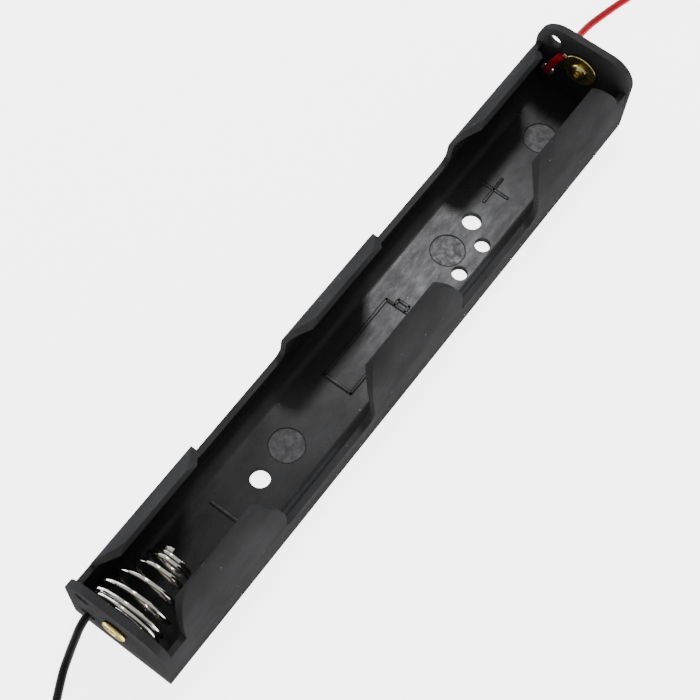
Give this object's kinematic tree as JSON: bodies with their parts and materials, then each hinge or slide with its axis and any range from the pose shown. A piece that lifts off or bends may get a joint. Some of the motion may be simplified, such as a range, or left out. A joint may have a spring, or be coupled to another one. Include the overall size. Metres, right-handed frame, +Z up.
{
  "type": "cylindrical cell holder",
  "caption": "Long open tray with spring clips that holds cylindrical cells end to end, with a conical spring, a riveted button and wire leads.",
  "frame": {"origin": "centre of the tray's underside", "axes": "+X along the tray to the positive end, +Z up out of the tray, +Y across, on the side of the lead holes"},
  "size_m": [0.1726, 0.0283, 0.015],
  "materials": {
    "tray": "smooth black moulded plastic with a soft sheen",
    "rivets": "bright brass",
    "spring": "bright nickel-plated spring wire",
    "strands": "tinned copper strands",
    "red_insulation": "smooth red wire insulation",
    "black_insulation": "smooth black wire insulation",
    "ties": "plain pale plastic"
  },
  "bodies": {
    "holder": {"tray": "tray", "positive_button": "rivets", "negative_rivet": "rivets", "red_strands": "strands", "black_strands": "strands", "red_lead_end": "red_insulation", "red_lead": "red_insulation", "black_lead": "black_insulation", "red_coil": "red_insulation", "black_coil": "black_insulation", "red_coil_tie": "ties", "black_coil_tie": "ties", "red_tip": "strands", "black_tip": "strands"},
    "spring": {"negative_spring": "spring"}
  },
  "joints": [
    {"name": "spring_compression", "type": "slide", "parent": "holder", "child": "spring", "axis": [-1, 0, 0], "range_m": [0, 0.006], "stiffness_N_per_m": 600, "deforming": ["negative_spring"]}
  ]
}
